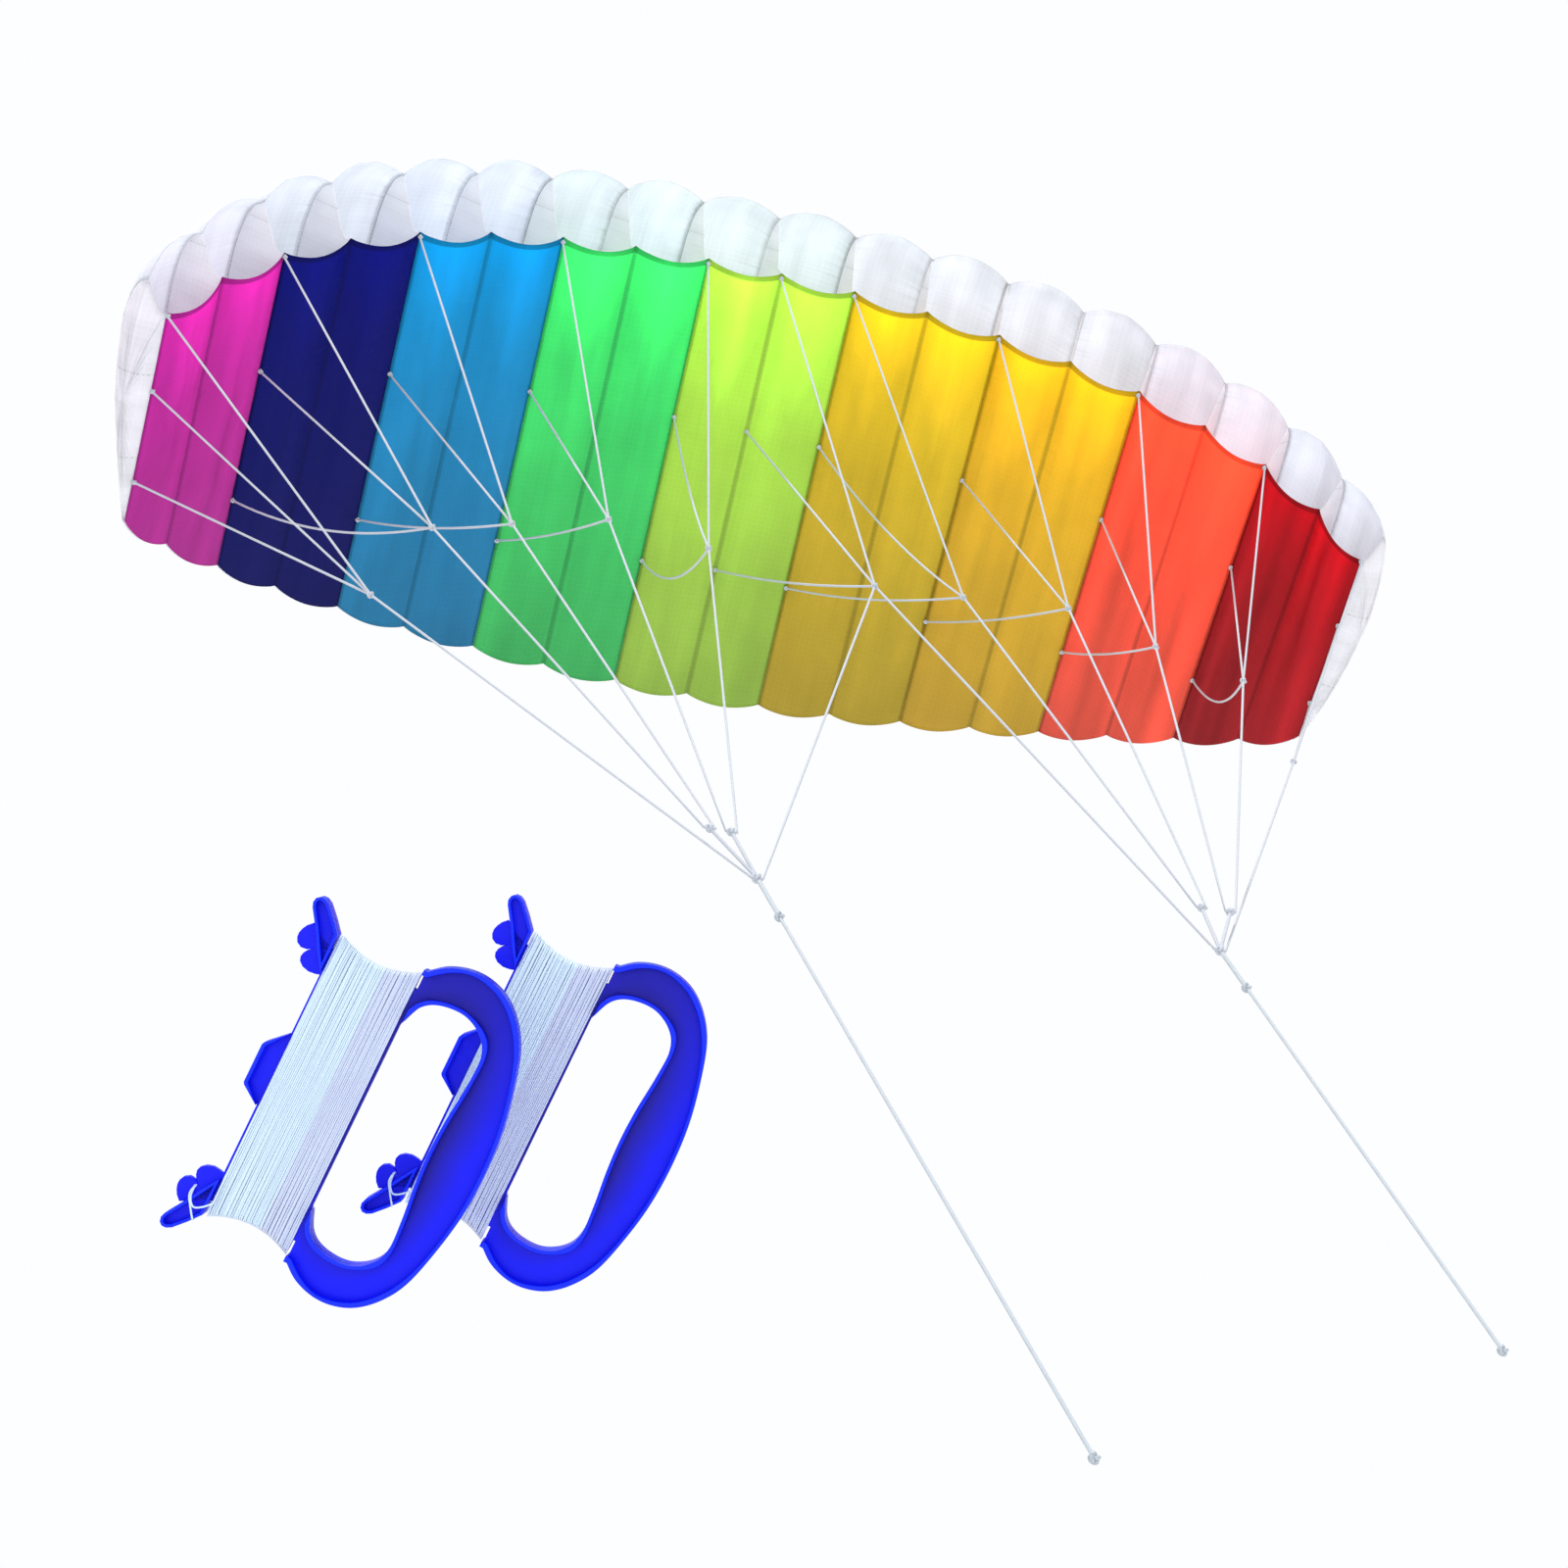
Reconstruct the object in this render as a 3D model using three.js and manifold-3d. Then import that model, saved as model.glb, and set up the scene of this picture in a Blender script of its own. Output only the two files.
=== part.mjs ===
// A two-line parafoil kite in flight: a ram-air canopy of eighteen cells in nine colour panels,
// its bridle, its two lead lines, and two winder handles that each hold a winding of flying line.
// Millimetres. +Z is up, away from the flyer, and the lead lines hang along -Z. +X runs along the
// span and the open mouths face -Y. The origin is under the middle of the centre rib's chord.
import * as THREE from "three";
import { mergeVertices } from "three/addons/utils/BufferGeometryUtils.js";
import Module from "manifold-3d";

const wasm = await Module();
wasm.setup();

// Canopy: rows, spans and arch
const cellCount = 18;
const cellWidth = 77.8;
const cellsPerPanel = 2;
const archBend = 0.8; // heading of the arch at the tip, in radians, from its even part
const archCurl = 0.24; // and from the part that grows towards the tip
const rootChord = 429;
const leadSweep = 108; // how far the leading edge runs back from centre to tip
const trailSweep = 125; // how far the trailing edge runs forward
const tipLift = 72; // how far the tips rise above the plain arch
const noseUp = 74; // how far the centre trailing edge lies below its leading edge

// Profile of a rib, in shares of its chord, from the upper lip to the trailing edge
const upperProfile = [
  [-0.115, 0.11],
  [-0.09, 0.148],
  [-0.03, 0.175],
  [0.1, 0.19],
  [0.3, 0.178],
  [0.5, 0.142],
  [0.72, 0.085],
  [0.88, 0.038],
  [1, 0.003],
];
const upperBulge = 15;
const lowerBulge = 8;
const lipSetback = 9; // how far the lower lip hangs back between ribs
const tailScallop = 8; // how far each cell's trailing edge stands out between ribs
const capBulge = 16;

// Fabric stand-in thicknesses and the gaps between separate pieces
const skinThickness = 1.2;
const ribThickness = 1;
const capThickness = 1.2;
const sewnGap = 0.35;
const panelGap = 0.4;
const ribTailShare = 0.96;
const ribFootSteps = 3;
const lowerSteps = 5;
const upperSteps = 9; // facets of the upper skin from lip to tail, which the ribs' tops follow

// Bridle: cord, knots and where the three legs of a rib meet
const bridleDiameter = 1.8;
const ribKnotDiameter = 4.6;
const towKnotDiameter = 5.6;
const middleLegShare = 0.37;
const rearLegShare = 0.7;
const rearLegTipShare = 0.81;
const frontLegShare = 0.012;
const middleSag = 16; // how far the slack middle legs of ribs 8 and 10 hang
const rearSags = { 0: 0, 2: 18, 4: 7, 6: 5, 8: 26, 9: 6, 10: 8, 12: 5, 14: 5, 16: 24, 18: 0 };
const sagDirection = new THREE.Vector3(0, 0.62, -0.78);
const hitchOffset = 4.4; // how far beside a knot's middle a hitched cord ends
const towPoint = new THREE.Vector3(186, 18.5, -965);
const outerJoin = new THREE.Vector3(213, 8.5, -911);
const innerJoin = new THREE.Vector3(193, 12.5, -902);
const centreKnot = new THREE.Vector3(0, -73.5, -518);
const ribKnots = {
  0: new THREE.Vector3(426, 6.5, -544),
  2: new THREE.Vector3(379, -42.5, -490),
  4: new THREE.Vector3(305, -45.5, -448),
  6: new THREE.Vector3(219, -59.5, -428),
  8: new THREE.Vector3(122, -47.5, -417),
};

// Lead lines
const leadDiameter = 2.4;
const leadLean = 2.4; // how far each line leans in towards the flyer, in degrees
const loopLength = 60;
const loopDiameter = 3.4;
const leadLengthLeft = 677;
const leadLengthRight = 528;
const endKnotDiameter = 5.2;
const endKnotLength = 9;

// Winder handles
const handleThickness = 12;
const webThickness = 4;
const rimWidth = 1.8;
const coreHalfWidth = 19.2;
const coreHalfHeight = 57;
const gripReach = 77;
const gripHalfHeight = 73.4;
const fingerHoleReach = 52.5;
const fingerHoleHalfHeight = 56;
const middleTabReach = 27.5;
const windingChannelWall = 0.4; // how far the rims stand clear of the channel for the winding
const windingClearance = 0.4;
const windingThickness = 10.6;
const windingEndHeight = 60;
const windingHornRise = 5;
const windingEndRadius = 6;
const handleAzimuth = -42; // the way the handles' faces look, in degrees
const handleElevation = -62;
const handleRoll = -54.8;
const handlePlaces = {
  left: new THREE.Vector3(-621.3, -196.5, -1745.7),
  right: new THREE.Vector3(-536.8, -200.1, -1723.6),
};

const panelColours = [
  ["magenta", 0xcd2b9e],
  ["navy", 0x0d1672],
  ["sky_blue", 0x0b86d8],
  ["green", 0x3cd269],
  ["lime", 0xb9eb4b],
  ["yellow", 0xdcbe1e],
  ["amber", 0xe6be19],
  ["orange", 0xff502d],
  ["red", 0xc80f28],
];

const halfCells = cellCount / 2;
const halfSpan = (cellCount * cellWidth) / 2;
const kite = new THREE.Group();

function finish(colour, roughness, metalness = 0) {
  return new THREE.MeshStandardMaterial({ color: colour, roughness, metalness });
}

function addPiece(name, geometry, material) {
  const mesh = new THREE.Mesh(geometry, material);
  mesh.name = name;
  kite.add(mesh);
}

// Solids for joining and cutting

function toSolid(geometry) {
  const bare = geometry.index ? geometry.toNonIndexed() : geometry.clone();
  bare.deleteAttribute("normal");
  bare.deleteAttribute("uv");
  const merged = mergeVertices(bare, 1e-4);
  return new wasm.Manifold(
    new wasm.Mesh({
      numProp: 3,
      vertProperties: new Float32Array(merged.attributes.position.array),
      triVerts: new Uint32Array(merged.index.array),
    }),
  );
}

function toGeometry(solid) {
  const mesh = solid.getMesh();
  const geometry = new THREE.BufferGeometry();
  const places = new Float32Array(mesh.vertProperties);
  geometry.setAttribute("position", new THREE.BufferAttribute(places, 3));
  geometry.setIndex(new THREE.BufferAttribute(new Uint32Array(mesh.triVerts), 1));
  return geometry;
}

function joined(geometries) {
  return toGeometry(geometries.map(toSolid).reduce((whole, piece) => whole.add(piece)));
}

// A closed surface from rows of points that wrap round both ways.
function wrappedSurface(rows) {
  const places = rows.flat().flatMap((point) => point.toArray());
  const columns = rows[0].length;
  const faces = [];
  rows.forEach((row, i) => {
    const next = (i + 1) % rows.length;
    for (let j = 0; j < columns; j++) {
      const across = (j + 1) % columns;
      const corners = [i * columns + j, next * columns + j, next * columns + across, i * columns + across];
      faces.push(corners[0], corners[1], corners[2], corners[0], corners[2], corners[3]);
    }
  });
  return facingOut(places, faces);
}

function facingOut(places, faces) {
  const at = (i) => new THREE.Vector3().fromArray(places, 3 * i);
  let volume = 0;
  for (let k = 0; k < faces.length; k += 3) {
    volume += at(faces[k]).dot(at(faces[k + 1]).cross(at(faces[k + 2])));
  }
  if (volume < 0) faces.reverse();
  const geometry = new THREE.BufferGeometry();
  geometry.setAttribute("position", new THREE.Float32BufferAttribute(places, 3));
  geometry.setIndex(faces);
  return geometry;
}

// A sheet with thickness from two grids of the same size: the inner face and the outer face.
function sheetBetween(inner, outer) {
  const rows = inner.length;
  const columns = inner[0].length;
  const places = [...inner.flat(), ...outer.flat()].flatMap((point) => point.toArray());
  const near = (i, j) => i * columns + j;
  const far = (i, j) => rows * columns + near(i, j);
  const faces = [];
  const quad = (a, b, c, d) => faces.push(a, b, c, a, c, d);
  for (let i = 0; i + 1 < rows; i++) {
    for (let j = 0; j + 1 < columns; j++) {
      quad(near(i, j), near(i + 1, j), near(i + 1, j + 1), near(i, j + 1));
      quad(far(i, j), far(i, j + 1), far(i + 1, j + 1), far(i + 1, j));
    }
  }
  for (let i = 0; i + 1 < rows; i++) {
    const last = columns - 1;
    quad(near(i, 0), far(i, 0), far(i + 1, 0), near(i + 1, 0));
    quad(near(i, last), near(i + 1, last), far(i + 1, last), far(i, last));
  }
  for (let j = 0; j + 1 < columns; j++) {
    quad(near(0, j), near(0, j + 1), far(0, j + 1), far(0, j));
    quad(near(rows - 1, j), far(rows - 1, j), far(rows - 1, j + 1), near(rows - 1, j + 1));
  }
  return facingOut(places, faces);
}

// Canopy stations. A station is counted in cells from the left tip, 0 to cellCount.

function archHeading(share) {
  return archBend * share + archCurl * share ** 3;
}

// The frame of a rib: its lip, its chord, and the directions along and across it.
function stationAt(cells) {
  const share = (cells - halfCells) / halfCells;
  const side = share < 0 ? -1 : 1;
  const reach = Math.abs(share);
  const steps = 32;
  let along = 0;
  let drop = 0;
  for (let k = 0; k < steps; k++) {
    const heading = archHeading((reach * (k + 0.5)) / steps);
    along += (Math.cos(heading) * halfSpan * reach) / steps;
    drop += (Math.sin(heading) * halfSpan * reach) / steps;
  }
  const square = share * share;
  const height = -drop + tipLift * (0.18 * square + 0.82 * square * square);
  const leadY = -rootChord / 2 + leadSweep * (0.45 * square + 0.55 * square * square);
  const trailY = rootChord / 2 - trailSweep * (0.94 * square + 0.06 * square * square);
  const lip = new THREE.Vector3(side * along, leadY, height);
  const tail = new THREE.Vector3(side * along, trailY, height - noseUp * (1 - square) ** 3);
  const chord = tail.clone().sub(lip);
  const length = chord.length();
  const back = chord.clone().normalize();
  const heading = side * archHeading(reach);
  const tangent = new THREE.Vector3(Math.cos(heading), 0, -Math.sin(heading));
  const up = tangent.cross(back).normalize();
  return { lip, length, back, up, across: back.clone().cross(up) };
}

function pointAt(station, backShare, upShare) {
  return station.lip
    .clone()
    .addScaledVector(station.back, backShare * station.length)
    .addScaledVector(station.up, upShare * station.length);
}

const upperCurve = new THREE.CatmullRomCurve3(upperProfile.map(([x, y]) => new THREE.Vector3(x, y, 0)));

// How full a cell stands at a station: nothing at a rib and all of it midway.
function fullness(cells) {
  return Math.abs(Math.sin(Math.PI * cells)) ** 0.8;
}

function upperPoint(cells, t) {
  const station = stationAt(cells);
  const place = upperCurve.getPoint(t);
  const slope = upperCurve.getTangent(t);
  const full = fullness(cells) * Math.min(1, (station.length / rootChord) * 1.15);
  const swell = upperBulge * full * Math.min(1, 4 * (1 - t));
  const scallop = tailScallop * fullness(cells) * Math.max(0, 5 * t - 4);
  return pointAt(station, place.x, place.y)
    .addScaledVector(station.back, -slope.y * swell + scallop)
    .addScaledVector(station.up, slope.x * swell);
}

function lowerPoint(cells, t) {
  const station = stationAt(cells);
  const full = fullness(cells);
  const swell = lowerBulge * full * Math.min(1, 4 * (1 - t));
  const setback = lipSetback * full * Math.max(0, 1 - 8 * t);
  const scallop = tailScallop * full * Math.max(0, 5 * t - 4);
  return pointAt(station, t, 0)
    .addScaledVector(station.back, setback + scallop)
    .addScaledVector(station.up, -swell);
}

// One panel of skin over two cells. outward is 1 for the upper skin and -1 for the lower one.
function skinPanel(panel, surface, chordSteps, cellSteps, outward) {
  const first = panel * cellsPerPanel;
  const inner = [];
  const outer = [];
  const columns = cellsPerPanel * cellSteps;
  const edge = panelGap / 2 / cellWidth;
  const cellAt = (j) => {
    const cells = first + j / cellSteps;
    if (j === 0) return cells + edge;
    return j === columns ? cells - edge : cells;
  };
  for (let i = 0; i <= chordSteps; i++) {
    const t = i / chordSteps;
    const rowIn = [];
    const rowOut = [];
    for (let j = 0; j <= columns; j++) {
      const cells = cellAt(j);
      const place = surface(cells, t);
      const ahead = surface(cells, Math.min(1, t + 0.01)).sub(surface(cells, Math.max(0, t - 0.01)));
      const beside = stationAt(cells).across;
      const normal = beside.cross(ahead).normalize();
      rowIn.push(place.clone().addScaledVector(normal, outward * sewnGap));
      rowOut.push(place.addScaledVector(normal, outward * (sewnGap + skinThickness)));
    }
    inner.push(rowIn);
    outer.push(rowOut);
  }
  return sheetBetween(inner, outer);
}

// The outline of a rib, in millimetres from its lip, back along the chord and up from it.
function ribOutline(length) {
  const points = [];
  for (let i = 0; i <= upperSteps; i++) {
    const place = upperCurve.getPoint(Math.min(i / upperSteps, ribTailShare));
    points.push(new THREE.Vector2(place.x * length, place.y * length));
  }
  const tail = points[upperSteps].x;
  for (let i = 0; i <= ribFootSteps; i++) {
    points.push(new THREE.Vector2(tail * (1 - i / ribFootSteps), 0));
  }
  return points;
}

function ribPlate(index) {
  const station = stationAt(index);
  const outline = ribOutline(station.length);
  const plate = new THREE.ExtrudeGeometry(new THREE.Shape(outline), {
    depth: ribThickness,
    bevelEnabled: false,
  });
  plate.translate(0, 0, -ribThickness / 2);
  const place = new THREE.Matrix4().makeBasis(station.back, station.up, station.across);
  place.setPosition(station.lip);
  return plate.applyMatrix4(place);
}

// The white cap that closes a tip, swollen outwards by the air behind it.
function tipCap(index) {
  const station = stationAt(index);
  const out = index === 0 ? -1 : 1;
  const outline = ribOutline(station.length);
  const middle = outline.reduce((sum, p) => sum.add(p), new THREE.Vector2());
  middle.divideScalar(outline.length);
  const rings = [1, 0.85, 0.6, 0.3];
  const ringPoints = (share, lift) =>
    outline.map((p) => {
      const flat = middle.clone().lerp(p, share);
      return station.lip
        .clone()
        .addScaledVector(station.back, flat.x)
        .addScaledVector(station.up, flat.y)
        .addScaledVector(station.across, out * lift);
    });
  const base = panelGap;
  const swell = (share) => base + capBulge * (1 - share * share);
  const inner = rings.map((share) => ringPoints(share, swell(share)));
  const outer = rings.map((share) => ringPoints(share, swell(share) + capThickness));
  const crown = (lift) => ringPoints(0, lift)[0];
  return cappedShell(inner, outer, crown(swell(0)), crown(swell(0) + capThickness));
}

// A dome with thickness: rings of points from the rim inwards, and the two crown points.
function cappedShell(inner, outer, innerCrown, outerCrown) {
  const columns = inner[0].length;
  const rings = inner.length;
  const all = [...inner.flat(), ...outer.flat(), innerCrown, outerCrown];
  const near = (i, j) => i * columns + (j % columns);
  const far = (i, j) => rings * columns + near(i, j);
  const nearCrown = 2 * rings * columns;
  const faces = [];
  for (let j = 0; j < columns; j++) {
    for (let i = 0; i + 1 < rings; i++) {
      faces.push(near(i, j), near(i, j + 1), near(i + 1, j + 1));
      faces.push(near(i, j), near(i + 1, j + 1), near(i + 1, j));
      faces.push(far(i, j), far(i + 1, j + 1), far(i, j + 1), far(i, j), far(i + 1, j), far(i + 1, j + 1));
    }
    faces.push(near(rings - 1, j), near(rings - 1, j + 1), nearCrown);
    faces.push(far(rings - 1, j + 1), far(rings - 1, j), nearCrown + 1);
    faces.push(near(0, j), far(0, j + 1), near(0, j + 1), near(0, j), far(0, j), far(0, j + 1));
  }
  return facingOut(all.flatMap((point) => point.toArray()), faces);
}

// Cords and knots

function straightCord(from, to, diameter) {
  const way = to.clone().sub(from);
  const cord = new THREE.CylinderGeometry(diameter / 2, diameter / 2, way.length(), 8);
  cord.applyQuaternion(new THREE.Quaternion().setFromUnitVectors(new THREE.Vector3(0, 1, 0), way.normalize()));
  return cord.translate(...from.clone().add(to).divideScalar(2).toArray());
}

function slackCord(from, to, diameter, sag) {
  const points = [0, 0.25, 0.5, 0.75, 1].map((t) =>
    from.clone().lerp(to, t).addScaledVector(sagDirection, 4 * sag * t * (1 - t)),
  );
  const section = new THREE.Shape();
  section.absarc(0, 0, diameter / 2, 0, 2 * Math.PI);
  return new THREE.ExtrudeGeometry(section, {
    extrudePath: new THREE.CatmullRomCurve3(points),
    steps: 8,
    curveSegments: 4,
  });
}

function knotBall(place, diameter, length = diameter) {
  const ball = new THREE.SphereGeometry(diameter / 2, 7, 4).rotateX(Math.PI / 2);
  return ball.scale(1, 1, length / diameter).translate(place.x, place.y, place.z);
}

// Where a leg of the bridle hangs from the seam under a rib.
function legTop(index, share) {
  const station = stationAt(index);
  const down = 2 * sewnGap + skinThickness + bridleDiameter;
  return pointAt(station, share, 0).addScaledVector(station.up, -down);
}

function onSide(vector, side) {
  return new THREE.Vector3(side * vector.x, vector.y, vector.z);
}

function ribBridle(index) {
  const side = index < halfCells ? -1 : 1;
  const fromTip = side < 0 ? index : cellCount - index;
  const atCentre = index === halfCells;
  const knot = atCentre ? centreKnot : onSide(ribKnots[fromTip], side);
  const outward = Math.abs(index - halfCells) / halfCells;
  const rearShare = rearLegShare + (rearLegTipShare - rearLegShare) * outward;
  const front = legTop(index, frontLegShare);
  const middle = legTop(index, middleLegShare);
  const rear = legTop(index, rearShare);
  const slackMiddle = Math.abs(index - halfCells) === 1;
  const pieces = [
    straightCord(front, knot, bridleDiameter),
    slackMiddle
      ? slackCord(middle, knot, bridleDiameter, middleSag)
      : straightCord(middle, knot, bridleDiameter),
    rearSags[index] > 0
      ? slackCord(rear, knot, bridleDiameter, rearSags[index])
      : straightCord(rear, knot, bridleDiameter),
    knotBall(knot, ribKnotDiameter),
  ];
  for (const end of bridleEnds(index, fromTip, side)) {
    pieces.push(straightCord(knot, end, bridleDiameter));
  }
  return joined(pieces);
}

// The hitch or hitches where a rib's lower cord ends, beside the knot that it is tied to.
function bridleEnds(index, fromTip, side) {
  const beside = (place, shift, toSide) => onSide(place.clone().setX(place.x + shift), toSide);
  if (index === halfCells) return [-1, 1].map((toSide) => beside(towPoint, -hitchOffset, toSide));
  if (fromTip === 0) return [beside(towPoint, hitchOffset, side)];
  const join = fromTip < 5 ? outerJoin : innerJoin;
  const outerOfPair = fromTip === 2 || fromTip === 6;
  return [beside(join, outerOfPair ? hitchOffset : -hitchOffset, side)];
}

// The cords from the two join knots of a side down to its tow knot.
function towBridle(side) {
  const tow = onSide(towPoint, side);
  const outer = onSide(outerJoin, side);
  const inner = onSide(innerJoin, side);
  return joined([
    straightCord(outer, tow, bridleDiameter),
    straightCord(inner, tow, bridleDiameter),
    knotBall(outer, towKnotDiameter),
    knotBall(inner, towKnotDiameter),
    knotBall(tow, towKnotDiameter),
  ]);
}

// A point at a distance down the lead line of one side from its tow point.
function alongLead(side, distance) {
  const lean = THREE.MathUtils.degToRad(leadLean);
  const way = new THREE.Vector3(-side * Math.sin(lean), 0, -Math.cos(lean));
  return onSide(towPoint, side).addScaledVector(way, distance);
}

// The sleeved loop that hitches a lead line to its tow knot.
function leadLoop(side) {
  const top = alongLead(side, towKnotDiameter / 2 + sewnGap + loopDiameter / 2);
  const foot = alongLead(side, loopLength);
  return joined([
    straightCord(top, foot, loopDiameter),
    knotBall(top, loopDiameter * 1.1),
    knotBall(foot, towKnotDiameter),
  ]);
}

function leadLength(side) {
  return side < 0 ? leadLengthLeft : leadLengthRight;
}

function leadLine(side) {
  const top = alongLead(side, loopLength + towKnotDiameter / 2 + sewnGap);
  const foot = alongLead(side, leadLength(side) - endKnotLength - sewnGap);
  return straightCord(top, foot, leadDiameter);
}

function leadEndKnot(side) {
  const middle = alongLead(side, leadLength(side) - endKnotLength / 2);
  return knotBall(middle, endKnotDiameter, endKnotLength);
}

// Winder handles, drawn flat with the grip on the right, then turned and placed

function mirroredUp(points) {
  const lower = points.map(([x, y]) => [x, -y]).reverse();
  return [...points, ...lower.slice(1)];
}

function mirroredDown(points) {
  return points.map(([x, y]) => [x, -y]).reverse();
}

function smoothLine(points, count) {
  const curve = new THREE.CatmullRomCurve3(points.map(([x, y]) => new THREE.Vector3(x, y, 0)));
  return curve.getPoints(count).map((p) => [p.x, p.y]);
}

// The outer edge of the D-shaped grip, from its upper root round to its lower root.
function gripEdge(inset) {
  const r = gripReach - inset;
  const high = gripHalfHeight - inset;
  const points = mirroredUp([
    [coreHalfWidth + inset, 65 - inset],
    [coreHalfWidth + inset + 7, high - 3],
    [35, high],
    [r - 33, high],
    [r - 24, high - 3.2],
    [r - 16, high - 10],
    [r - 9.5, high - 20],
    [r - 5, 39],
    [r - 1.2, 20],
    [r, 0],
  ]);
  return smoothLine(points, 30);
}

function fingerHoleEdge(outset) {
  const r = fingerHoleReach + outset;
  const high = fingerHoleHalfHeight + outset;
  const points = mirroredUp([
    [coreHalfWidth - outset, high - 15],
    [coreHalfWidth + 4.5 - outset * 0.8, high - 5],
    [31 - outset * 0.4, high - 0.5],
    [42, high],
    [r - 1.5, high - 5],
    [r + 2.5, high - 13],
    [r + 2.2, 30],
    [r + 0.6, 14],
    [r, 0],
  ]);
  return smoothLine(points, 26);
}

// The hollow finger-shaped horn at the upper left of the winder.
function hornEdge() {
  return [
    [-coreHalfWidth, 47],
    [-24, 54],
    [-28, 61],
    [-33.3, 69],
    [-33.6, 72.4],
    [-31.2, 74.3],
    [-28, 73],
    [-coreHalfWidth, 63.2],
    [-coreHalfWidth, coreHalfHeight],
  ];
}

// The two flat lobes beside a horn, with the notch between them that holds the line's end.
function lobeEdge() {
  return [
    [-coreHalfWidth, 45.2],
    [-23, 44.4],
    [-27, 45],
    [-29.3, 47.6],
    [-28.9, 50.6],
    [-26.6, 53],
    [-31, 51.8],
    [-34, 54],
    [-34.3, 57],
    [-32.8, 60.5],
    [-30, 63],
    [-coreHalfWidth, 57],
  ];
}

function middleTabEdge() {
  return [
    [-coreHalfWidth, -13.5],
    [-middleTabReach, -7.5],
    [-middleTabReach, 10.8],
    [-coreHalfWidth, 18.6],
  ];
}

// The same outline moved in by a width on every edge. The points run clockwise.
function movedIn(points, width) {
  const along = (from, to) => {
    const way = new THREE.Vector2(to[0] - from[0], to[1] - from[1]).normalize();
    return { way, inward: new THREE.Vector2(way.y, -way.x) };
  };
  return points.map((point, i) => {
    const before = along(points.at(i - 1), point);
    const after = along(point, points[(i + 1) % points.length]);
    const inward = before.inward.clone().add(after.inward).normalize();
    const reach = width / inward.dot(after.inward);
    return [point[0] + inward.x * reach, point[1] + inward.y * reach];
  });
}

function extruded(points, low, high) {
  const shape = new THREE.Shape(points.map(([x, y]) => new THREE.Vector2(x, y)));
  const block = new THREE.ExtrudeGeometry(shape, { depth: high - low, bevelEnabled: false });
  return block.translate(0, 0, low);
}

function bothFaces(points, low, high) {
  return toSolid(extruded(points, low, high)).add(toSolid(extruded(points, -high, -low)));
}

function handleBody() {
  const half = handleThickness / 2;
  const horn = hornEdge();
  const outline = [
    ...middleTabEdge(),
    ...horn,
    [coreHalfWidth, coreHalfHeight],
    ...gripEdge(0),
    [coreHalfWidth, -coreHalfHeight],
    ...mirroredDown(horn),
  ];
  let body = toSolid(extruded(outline, -half, half));
  body = body.subtract(toSolid(extruded(fingerHoleEdge(0), -handleThickness, handleThickness)));
  const web = webThickness / 2;
  const gripPocket = bothFaces(gripEdge(rimWidth), web, handleThickness);
  const gripRim = bothFaces(fingerHoleEdge(rimWidth), 0, 2 * handleThickness);
  body = body.subtract(gripPocket.subtract(gripRim));
  const w = coreHalfWidth - windingChannelWall;
  const reach = 90;
  const windingRoom = [
    [-w, -reach],
    [w, -reach],
    [w, reach],
    [-w, reach],
  ];
  body = body.subtract(bothFaces(windingRoom, web, handleThickness));
  const tabPocket = movedIn(middleTabEdge(), rimWidth);
  body = body.subtract(bothFaces(tabPocket, web, handleThickness));
  const hornPocket = movedIn(hornEdge(), rimWidth);
  const lobes = extruded(lobeEdge(), -web, web);
  for (const turned of [hornPocket, mirroredDown(hornPocket)]) {
    body = body.subtract(bothFaces(turned, web, handleThickness));
  }
  body = body.add(toSolid(lobes)).add(toSolid(extruded(mirroredDown(lobeEdge()), -web, web)));
  return toGeometry(body);
}

// The wound line as one sleeve round the core: its turns run up one face, over the end and back.
function windingBody() {
  const halfWidth = coreHalfWidth - windingChannelWall - windingClearance;
  const stations = 6;
  const ring = (x, halfLength, halfDepth, round) => {
    const points = [];
    for (const [side, first] of [
      [1, 0],
      [-1, Math.PI],
    ]) {
      for (let k = 0; k <= 6; k++) {
        const angle = first + (Math.PI * k) / 6;
        const y = side * (halfLength - round) + Math.sin(angle) * round;
        points.push(new THREE.Vector3(x, y, Math.cos(angle) * halfDepth));
      }
    }
    return points;
  };
  const rows = [];
  for (let i = 0; i <= stations; i++) {
    const x = -halfWidth + (2 * halfWidth * i) / stations;
    const rise = windingHornRise * (x / halfWidth) ** 2;
    rows.push(ring(x, windingEndHeight + rise, windingThickness / 2, windingEndRadius));
  }
  const slot = webThickness / 2 + windingClearance;
  for (const x of [halfWidth, -halfWidth]) {
    rows.push(ring(x, coreHalfHeight + windingClearance, slot, 0.5));
  }
  return wrappedSurface(rows);
}

function handlePose(place) {
  const a = THREE.MathUtils.degToRad(handleAzimuth);
  const e = THREE.MathUtils.degToRad(handleElevation);
  const r = THREE.MathUtils.degToRad(handleRoll);
  const facing = new THREE.Vector3(
    Math.sin(a) * Math.cos(e),
    -Math.cos(a) * Math.cos(e),
    Math.sin(e),
  );
  const level = new THREE.Vector3(Math.cos(a), Math.sin(a), 0);
  const rise = facing.clone().cross(level);
  const right = level.clone().multiplyScalar(Math.cos(r)).addScaledVector(rise, Math.sin(r));
  const up = facing.clone().cross(right);
  return new THREE.Matrix4().makeBasis(right, up, facing).setPosition(place);
}

const whiteFabric = () => finish(0xf2f2f6, 0.8);
const whiteCord = () => finish(0xe6e8f0, 0.7);

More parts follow.
